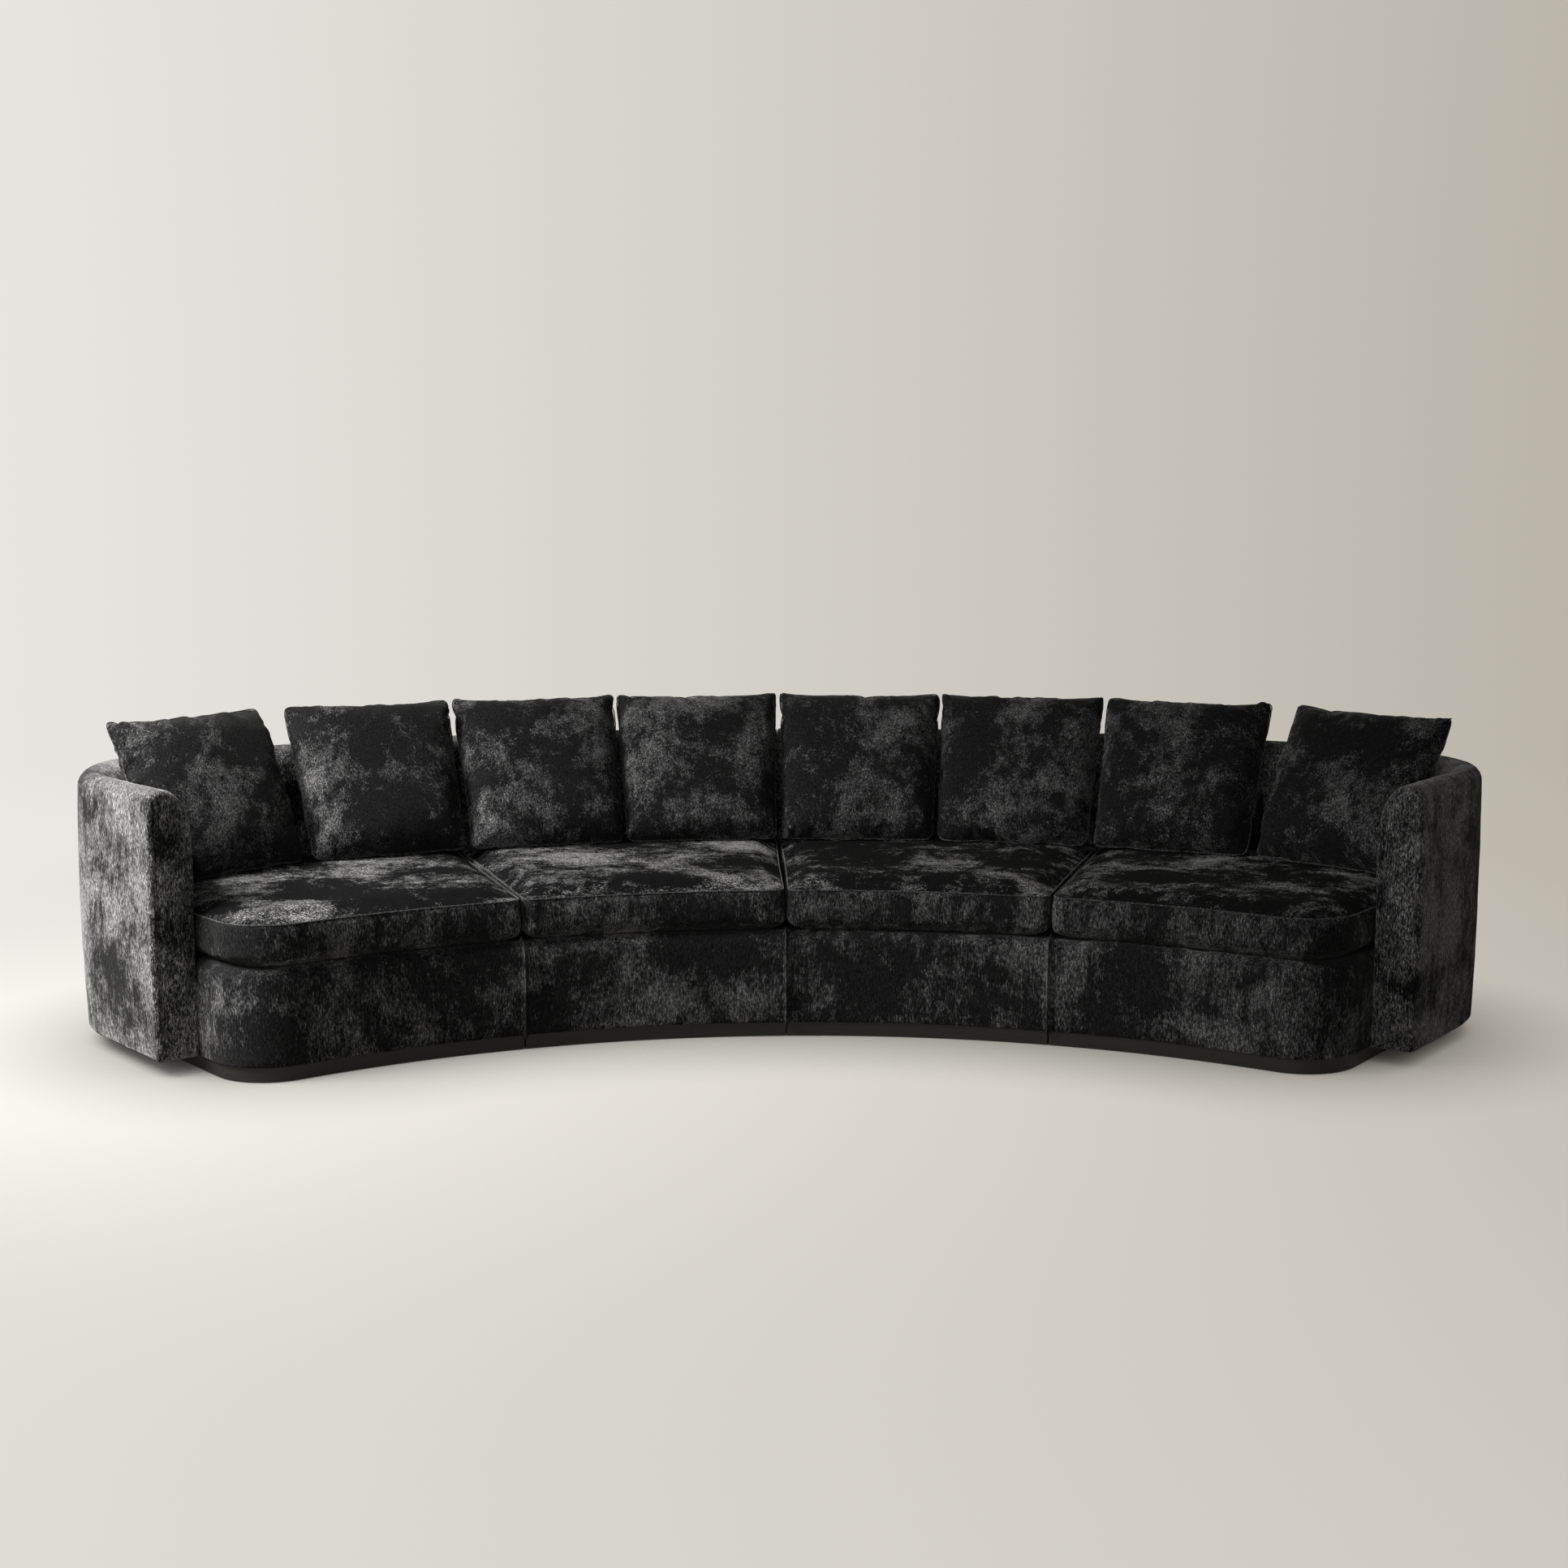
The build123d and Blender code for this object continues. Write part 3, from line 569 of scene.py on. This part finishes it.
def seatOutline(kind, front, rear, side, arm, draw, edge):  # front, far side, back and near side
    near, far, centre = row["front"] + front, row["well"] - rear, (0, 0)
    angle = 0 if kind == "middle" else row["seam"]
    nearFront, nearBack = beside(near, angle, side), beside(far, angle, side)
    left = drawnLine(nearBack, nearFront, draw * polar(1, angle + 90))
    if kind == "middle":
        farFront, farBack = beside(near, row["seam"], -side), beside(far, row["seam"], -side)
        fore = arcRun(centre, near, compass(nearFront), compass(farFront))[0]
        right = drawnLine(farFront, farBack, draw * polar(1, row["seam"] - 90))
        back = arcRun(centre, far, compass(farBack), compass(nearBack))[0]
        fore, right = cutCorner(fore, right, edge)
        right, back = cutCorner(right, back, edge)
    else:  # the side beside the arm starts and ends half way round its corners
        corner, radius, along = seatCorner(front, arm)
        turn, turnRadius, turnStart = wellTurn(rear, arm)
        fromFront, toArm = compass(corner) + 180, row["arm"] + 90
        half = (fromFront + toArm) / 2
        backHalf = (toArm + compass(turn)) / 2
        fore = joined(arcRun(centre, near, compass(nearFront), compass(corner)),
                      arcRun(corner, radius, fromFront, half))[0]
        right = joined(arcRun(corner, radius, half, toArm),
                       lineRun(byArm(along, -arm), byArm(turnStart, -arm), byArm(0, 1)),
                       arcRun(turn, turnRadius, toArm, backHalf))[0]
        back = joined(arcRun(turn, turnRadius, backHalf, compass(turn)),
                      arcRun(centre, far, compass(turn), compass(nearBack)))[0]
    back, left = cutCorner(back, left, edge)
    left, fore = cutCorner(left, fore, edge)
    return fore, right, back, left


def cushionSides(kind, inset):
    look = cushionLook
    room = look["room"] + inset
    return seatOutline(kind, inset - look["proud"], room, row["halfGap"] + inset, room,
                       look["draw"], look["edge"])


def evenly(side, count):
    lengths = lengthsOf(side)
    return sampled(side, lengths, np.linspace(0, lengths[-1], count))


def panelGrid(sides, columns, rows):  # a grid stretched between four sides
    front, right, back, left = sides
    front, back = evenly(front, columns), evenly(back[::-1], columns)
    right, left = evenly(right, rows), evenly(left[::-1], rows)
    u = np.linspace(0, 1, columns)[None, :, None]
    v = np.linspace(0, 1, rows)[:, None, None]
    corners = ((1 - u) * (1 - v) * front[0] + u * (1 - v) * front[-1] +
               (1 - u) * v * back[0] + u * v * back[-1])
    between = (1 - v) * front[None] + v * back[None] + (1 - u) * left[:, None] + u * right[:, None]
    return between - corners


def gridQuads(columns, rows):
    starts = [line * columns + column for line in range(rows - 1) for column in range(columns - 1)]
    return [(here, here + 1, here + columns + 1, here + columns) for here in starts]


def rimOf(columns, rows):  # grid places round the edge, in order
    return ([(0, column) for column in range(columns - 1)] +
            [(line, columns - 1) for line in range(rows - 1)] +
            [(rows - 1, column) for column in range(columns - 1, 0, -1)] +
            [(line, 0) for line in range(rows - 1, 0, -1)])


def ringOf(sides, columns, rows, rim):
    grid = panelGrid(sides, columns, rows)
    return np.array([grid[place] for place in rim])


def cushionMesh(kind):  # top and bottom panel, and the band between them
    look = cushionLook
    columns, rows, bottom = look["columns"], look["rows"], look["bottom"]
    panel = columns * rows
    rim = rimOf(columns, rows)
    grid = panelGrid(cushionSides(kind, look["bulge"]), columns, rows)
    lift = np.ones((rows, columns))
    for edge in (grid[:, :1], grid[:, -1:], grid[:1], grid[-1:]):
        away = np.linalg.norm(edge - grid, axis=2)
        lift *= 1 - (1 - np.clip(away / look["reach"], 0, 1)) ** look["crownPower"]
    heights = bottom + look["band"] + look["crown"] * lift
    under = panelGrid(cushionSides(kind, look["bulge"] + look["foot"]), columns, rows)
    points = [np.column_stack((grid.reshape(-1, 2), heights.ravel())), atLevel(under.reshape(-1, 2), bottom)]
    faces = []
    for quad in gridQuads(columns, rows):
        faces += [quad, tuple(place + panel for place in quad[::-1])]
    topLoop = [line * columns + column for line, column in rim]
    loops = [[place + panel for place in topLoop]]
    start = 2 * panel
    for index in range(1, look["bandRows"] + 1):
        share = (index / (look["bandRows"] + 1)) ** look["bandPower"]
        curl = max(0.0, 1 - share * look["band"] / look["footHeight"]) ** 2
        inset = look["bulge"] * (1 - math.sin(share * math.pi) ** look["bandFull"]) + look["foot"] * curl
        ring = ringOf(cushionSides(kind, inset), columns, rows, rim)
        points.append(atLevel(ring, bottom + look["band"] * share))
        loops.append(list(range(start, start + len(rim))))
        start += len(rim)
    loops.append(topLoop)
    for lower, upper in zip(loops, loops[1:]):
        for index in range(len(rim)):
            after = (index + 1) % len(rim)
            faces.append((lower[index], lower[after], upper[after], upper[index]))
    return np.concatenate(points), faces, loops


def seamRoll(path, radius, start, sides=6):  # the raised edge of a sewn seam, as a closed thin roll
    ahead = np.roll(path, -1, axis=0) - np.roll(path, 1, axis=0)
    ahead /= np.linalg.norm(ahead, axis=1)[:, None]
    side = np.cross(ahead, (0, 0, 1))
    side /= np.linalg.norm(side, axis=1)[:, None]
    up = np.cross(side, ahead)
    points = []
    for bend in np.linspace(0, 2 * math.pi, sides, endpoint=False):
        points.append(path + radius * (math.cos(bend) * side + math.sin(bend) * up))
    count = len(path)
    faces = []
    for ring in range(sides):
        here, other = ring * count, (ring + 1) % sides * count
        for index in range(count):
            after = (index + 1) % count
            quad = (here + index, here + after, other + after, other + index)
            faces.append(tuple(start + place for place in quad))
    return np.concatenate(points), faces


def keptApart(points, kind, clear):  # nothing of a cushion passes the seams of its module
    for angle, inward in seamsOf(kind):
        turn = math.radians(angle)
        across = np.array((math.cos(turn), -math.sin(turn)))
        away = inward * (points[:, :2] @ across)
        points[:, :2] += np.maximum(clear - away, 0)[:, None] * inward * across
    return points


def makeCushion(name, kind, mirrored):
    look = cushionLook
    points, faces, loops = cushionMesh(kind)
    panel = look["columns"] * look["rows"]
    blown = linkMesh(name, points.tolist(), faces)
    held = list(range(panel, 2 * panel)) + loops[-1]  # the underside and the top seam
    blown.vertex_groups.new(name="held").add(held, 1.0, "REPLACE")
    puffed = simulate(blown, look["pressure"], look["frames"], held="held", slack=look["slack"])
    bpy.data.objects.remove(blown)
    move = puffed - points
    sideways = np.linalg.norm(move[:, :2], axis=1)
    move[:, :2] *= np.minimum(1, look["out"] / np.maximum(sideways, 1e-9))[:, None]
    move[:, 2] = np.clip(move[:, 2], -look["up"] / 2, look["up"])
    points = points + move
    top, soft = look["top"], look["soft"]  # the crown eases into its highest level
    over = np.maximum(points[:, 2] - top + soft, 0)
    points[:, 2] = np.where(over > 0, top - soft * np.exp(-over / soft), points[:, 2])
    rollPoints, rollFaces = seamRoll(points[loops[-1]], look["roll"], len(points))
    points = keptApart(np.concatenate((points, rollPoints)), kind, look["clear"])
    piece = makePiece(name, points, faces + rollFaces, mirrored)
    band = len(rollFaces) + len(loops[-1]) * (len(loops) - 1)
    markFaces(piece, -band, -len(rollFaces), 1)
    markFaces(piece, -len(rollFaces), None, 2)
    smoother(piece)
    return piece


deckLook = {"front": 0.0205, "rear": 0.0005, "seam": 0.0075, "bottom": 0.272, "top": 0.294, "soft": 0.006,
            "corner": 0.003, "flat": 0.05, "sidePoints": 40, "fill": 0.5}


def makeDeck(name, kind, mirrored):
    look = deckLook
    soft, bottom, top = look["soft"], look["bottom"], look["top"]
    rings = []
    for inset, level in ((soft, bottom), (0, bottom + soft), (0, top - soft), (soft * 0.4, top - soft * 0.3),
                         (soft * 1.6, top), (look["flat"], top)):
        sides = seatOutline(kind, look["front"] + inset, look["rear"] + inset, look["seam"] + inset,
                            look["front"] + inset, 0, look["corner"])
        loop = np.concatenate([evenly(side, look["sidePoints"])[:-1] for side in sides])
        rings.append(atLevel(loop, level))
    return makePiece(name, *skin(rings), mirrored)


clothLook = {"stiffness": 15, "bending": 0.5, "mass": 0.3, "damping": 2.0, "quality": 5}


def simulate(piece, pressure, frames, fullAt=None, held=None, slack=0.0):  # blown up as sewn cloth
    look = clothLook
    scene = bpy.context.scene
    scene.frame_set(1)
    cloth = piece.modifiers.new("cloth", "CLOTH")
    fabric = cloth.settings
    fabric.quality = look["quality"]
    fabric.mass = look["mass"]
    fabric.air_damping = look["damping"]
    fabric.tension_stiffness = look["stiffness"]
    fabric.compression_stiffness = look["stiffness"]
    fabric.shear_stiffness = look["stiffness"] / 2
    fabric.bending_stiffness = look["bending"]
    fabric.use_pressure = True
    fabric.uniform_pressure_force = pressure
    fabric.effector_weights.gravity = 0
    fabric.shrink_min = -slack
    if held:
        fabric.vertex_group_mass = held
    cloth.point_cache.frame_start = 1
    cloth.point_cache.frame_end = frames
    for number in range(1, frames + 1):
        scene.frame_set(number)
        blown = piece.evaluated_get(bpy.context.evaluated_depsgraph_get()).data
        points = np.empty(len(blown.vertices) * 3)
        blown.vertices.foreach_get("co", points)
        points = points.reshape(-1, 3)
        if fullAt and np.ptp(points[:, 2]) > fullAt:
            break
    piece.modifiers.remove(cloth)
    scene.frame_set(1)
    return points


def smoother(piece):
    finer = piece.modifiers.new("finer", "SUBSURF")
    finer.levels = 1
    finer.render_levels = 1


pillowLook = {"height": 0.478, "top": 0.492, "bottom": 0.446, "front": 0.092, "rear": 0.078, "lean": 29.0,
              "fromBack": 0.243, "rest": 0.4453, "seat": 0.4424, "cells": 44, "panel": (0.515, 0.50),
              "full": 0.05, "tips": 0.02, "swell": 0.012, "quickSwell": 7, "uneven": 0.0006, "pressure": 3.6,
              "frames": 40, "thick": 0.175, "belly": -0.002, "sag": 0.013, "waves": 0.4, "ear": 0.006,
              "roll": 0.0022, "fill": 0.65}
# angle in the row, own turn, and how far forward of the others
pillowPlaces = {"middle_inner": (4.8, 0, 0), "middle_outer": (14.3, 0, 0),
                "end_inner": (23.9, 0, 0), "end_outer": (33.4, 14.0, 0.036)}


def pillowPanels(seed):  # two flat panels sewn along their edges, lying on each other
    look = pillowLook
    luck = np.random.default_rng(seed)
    count = look["cells"] + 1
    u, v = np.meshgrid(np.linspace(-1, 1, count), np.linspace(-1, 1, count))
    x = u * look["panel"][0] / 2 * (1 + look["full"] * (1 - v * v) - look["tips"] * v ** 8)
    y = v * look["panel"][1] / 2 * (1 + look["full"] * (1 - u * u) - look["tips"] * u ** 8)
    swell = look["swell"] * (1 - u ** 4) * (1 - v ** 4)
    points = list(np.stack((x, y, swell), axis=2).reshape(-1, 3))
    places = list(np.stack((u, v), axis=2).reshape(-1, 2))
    rim = [line * count + column for line, column in rimOf(count, count)]
    behind = {index: index for index in rim}
    for index in range(count * count):
        if index not in behind:
            behind[index] = len(points)
            points.append(points[index] * (1, 1, -1))
            places.append(places[index])
    faces = []
    for quad in gridQuads(count, count):
        faces += [quad, tuple(behind[corner] for corner in quad[::-1])]
    points = np.array(points)
    return points + luck.normal(0, look["uneven"], points.shape), faces, np.array(places), rim


def squaredUp(points, places, rim):  # the rim is brought to its sides, and its waves are calmed
    look = pillowLook
    u, v = places[:, 0], places[:, 1]
    onRim = np.array(rim)

    def shift(axis, along, side, wanted):  # how far each point beside one side of the rim has to move
        there = onRim[places[onRim, 1 - along] == side]
        there = there[np.argsort(places[there, along])]
        spots, line = places[there, along], points[there, axis]
        smooth = np.polyval(np.polyfit(spots, line, 4), spots)
        calmed = smooth + look["waves"] * (line - smooth)
        return (wanted - np.interp(places[:, along], spots, smooth) +
                np.interp(places[:, along], spots, calmed - line))

    half = (look["bottom"] + (look["top"] - look["bottom"]) * (v + 1) / 2) / 2 + look["belly"] * (1 - v * v)
    crest = look["height"] - look["sag"] * (1 - u ** 4)
    x = points[:, 0] + (1 - u) / 2 * shift(0, 1, -1, -half) + (1 + u) / 2 * shift(0, 1, 1, half)
    y = points[:, 1] + (1 - v) / 2 * shift(1, 0, -1, 0) + (1 + v) / 2 * shift(1, 0, 1, crest)
    ear = look["ear"] * np.abs(u * v) ** 20  # corners end in a soft round
    x, y = x - ear * np.sign(u), y - ear * np.sign(v)
    z = points[:, 2] - np.median(points[onRim, 2])
    out = np.where(z > 0, z / z.max() * look["front"], -z / z.min() * look["rear"])
    return np.stack((x, y, out), axis=1)


def makePillow(name, place, mirrored, seed):
    look = pillowLook
    points, faces, places, rim = pillowPanels(seed)
    blown = linkMesh(name, points.tolist(), faces)
    pressure = look["pressure"] + random.Random(seed).random()
    points = simulate(blown, pressure, look["frames"], fullAt=look["thick"])
    bpy.data.objects.remove(blown)
    points = squaredUp(points, places, rim)
    rollPoints, rollFaces = seamRoll(points[rim], look["roll"], len(points))
    points = np.concatenate((points, rollPoints))
    local = np.stack((points[:, 0], -points[:, 2], points[:, 1]), axis=1)
    angle, swivel, forward = place
    spot = polar(row["well"] - look["fromBack"] - forward, angle)
    swung = Matrix.Rotation(math.radians(-angle - swivel), 4, "Z")
    leaned = Matrix.Rotation(math.radians(-look["lean"]), 4, "X")
    turned = Matrix.Translation((spot[0], spot[1], look["rest"])) @ swung @ leaned
    placed = np.array([turned @ Vector(point) for point in local])
    placed[:, 2] = np.maximum(placed[:, 2], look["seat"])
    piece = makePiece(name, placed, faces + rollFaces, mirrored)
    markFaces(piece, -len(rollFaces), None, 1)
    smoother(piece)
    return piece


for number, module in enumerate(modules):
    side, kind = module.split("_")
    mirrored = side == "left"
    fixedPieces = ((makeWall, "_upholsteredBack", "_back_cover", wallLook, velvets["wall"]),
                   (makeBase, "_apron", "_base_cover", apronLook, velvets["base"]),
                   (makeDeck, "_deck", "_deck_pad", deckLook, nodeFinish["deck"]))
    for make, ending, node, look, finish in fixedPieces:
        settle(make(module + ending, kind, mirrored), module, module + node, look["fill"], finish)
    body = module + "_seat_cushion"
    settle(makeCushion(module + "_boxCushion", kind, mirrored), body, body, cushionLook["fill"],
           velvets["seat"], velvets["base"], velvets["seam"])
    for second, which in enumerate(("inner", "outer")):
        body = module + "_pillow_" + which
        pillow = makePillow(module + "_backPillow_" + which, pillowPlaces[kind + "_" + which], mirrored,
                            number * 2 + second)
        settle(pillow, body, body, pillowLook["fill"], velvets["pillow"], velvets["seam"])
    print("module dressed:", module)

studio = {"paper": (0.11, 0.107, 0.102, 1), "paperShade": 0.97, "leftGlow": (0.81, 0.792, 0.757, 1),
          "rightGlow": (0.49, 0.457, 0.394, 1), "sky": (0.07, 0.069, 0.067, 1), "floor": 9.0, "fadeFrom": 3.2,
          "fadeTo": 7.5, "shadeReach": 0.45, "floorGlowWide": 6.0, "airSlope": 1.45, "airMiddle": 0.46}
lamps = {"windowKey": {"place": (-3.2, -1.2, 2.5), "aim": (-1.6, -0.3, 0.4), "size": (1.4, 1.4),
                       "power": 48.0, "colour": (1.0, 0.985, 0.96), "spread": 74.0},
         "softFill": {"place": (-1.6, -6.6, 1.7), "aim": (0.0, 0.0, 0.5), "size": (4.0, 2.4),
                      "power": 76.0, "colour": (1.0, 0.97, 0.93), "spread": 180.0},
         "softBack": {"place": (1.2, 6.4, 1.5), "aim": (0.0, 0.4, 0.4), "size": (4.0, 2.0),
                      "power": 110.0, "colour": (1.0, 0.98, 0.95), "spread": 180.0}}


def makeFloor():  # a round sheet of paper that fades into the air behind it
    turns = np.linspace(0, 2 * math.pi, 96, endpoint=False)
    points = [(studio["floor"] * math.cos(turn), studio["floor"] * math.sin(turn), 0) for turn in turns]
    sheet = linkMesh("paperFloor", points, [tuple(range(len(points)))])
    paint = Paint("paper", Roughness=0.95, Specular_IOR_Level=0.0, Emission_Strength=1.0)
    spot = paint.place((1, 1, 1))
    tone = paint.cloud(spot, scale=1.4, detail=3.0, rough=0.5)
    openAir = paint.node("ShaderNodeAmbientOcclusion", {"samples": 6}, out="AO",
                         Distance=studio["shadeReach"])  # dark under the sofa
    across = paint.node("ShaderNodeSeparateXYZ", Vector=spot)
    share = paint.ramp(across * (1 / studio["floorGlowWide"]) + 0.5, (0, 0), (1, 1))
    glow = paint.mixed(share, studio["leftGlow"], studio["rightGlow"])
    away = paint.node("ShaderNodeVectorMath", {"operation": "LENGTH"}, out="Value", s0=spot)
    faded = paint.node("ShaderNodeMapRange", {"interpolation_type": "SMOOTHSTEP"}, Value=away,
                       From_Min=studio["fadeFrom"], From_Max=studio["fadeTo"], To_Min=1.0, To_Max=0.0)
    shade = [channel * studio["paperShade"] for channel in studio["paper"]]
    shown = paint.mixed(paint.seen() * openAir, (0, 0, 0, 1), glow)
    sheet.data.materials.append(paint.wear(Base_Color=paint.mixed(tone, shade, studio["paper"]),
                                           Alpha=faded, Emission_Color=shown))


def makeAir():  # pale backdrop to the eye, dim soft light to the sofa
    world = bpy.data.worlds.new("studioAir")
    bpy.context.scene.world = world
    air = Paint("studioAir", world)
    across = air.node("ShaderNodeSeparateXYZ", Vector=air.node("ShaderNodeTexCoord"))
    share = air.ramp(across * studio["airSlope"] + studio["airMiddle"], (0, 0), (1, 1))
    glow = air.mixed(share, studio["leftGlow"], studio["rightGlow"])
    air.wear(Color=air.mixed(air.seen(), studio["sky"], glow))


def areaLight(name, place, aim, size, power, colour, spread):
    lamp = bpy.data.lights.new(name, "AREA")
    lamp.shape = "RECTANGLE"
    lamp.size, lamp.size_y = size
    lamp.energy = power
    lamp.color = colour
    lamp.spread = math.radians(spread)
    holder = bpy.data.objects.new(name, lamp)
    holder.location = place
    holder.visible_camera = False
    holder.rotation_euler = (Vector(aim) - Vector(place)).to_track_quat("-Z", "Y").to_euler()
    bpy.context.scene.collection.objects.link(holder)


makeFloor()
makeAir()
for name, lamp in lamps.items():
    areaLight(name, **lamp)
print("studio set:", len(lamps), "lamps")

view = {"place": (-0.174, -6.0005, 1.521), "down": 8.15, "toRight": 1.68, "lens": 49.19, "sensor": 36.0}
cameraData = bpy.data.cameras.new("photoCamera")
cameraData.lens = view["lens"]
cameraData.sensor_width = view["sensor"]
camera = bpy.data.objects.new("photoCamera", cameraData)
camera.location = view["place"]
camera.rotation_euler = (math.radians(90 - view["down"]), 0, math.radians(-view["toRight"]))
bpy.context.scene.collection.objects.link(camera)
bpy.context.scene.camera = camera
bpy.context.scene.view_settings.view_transform = "Standard"
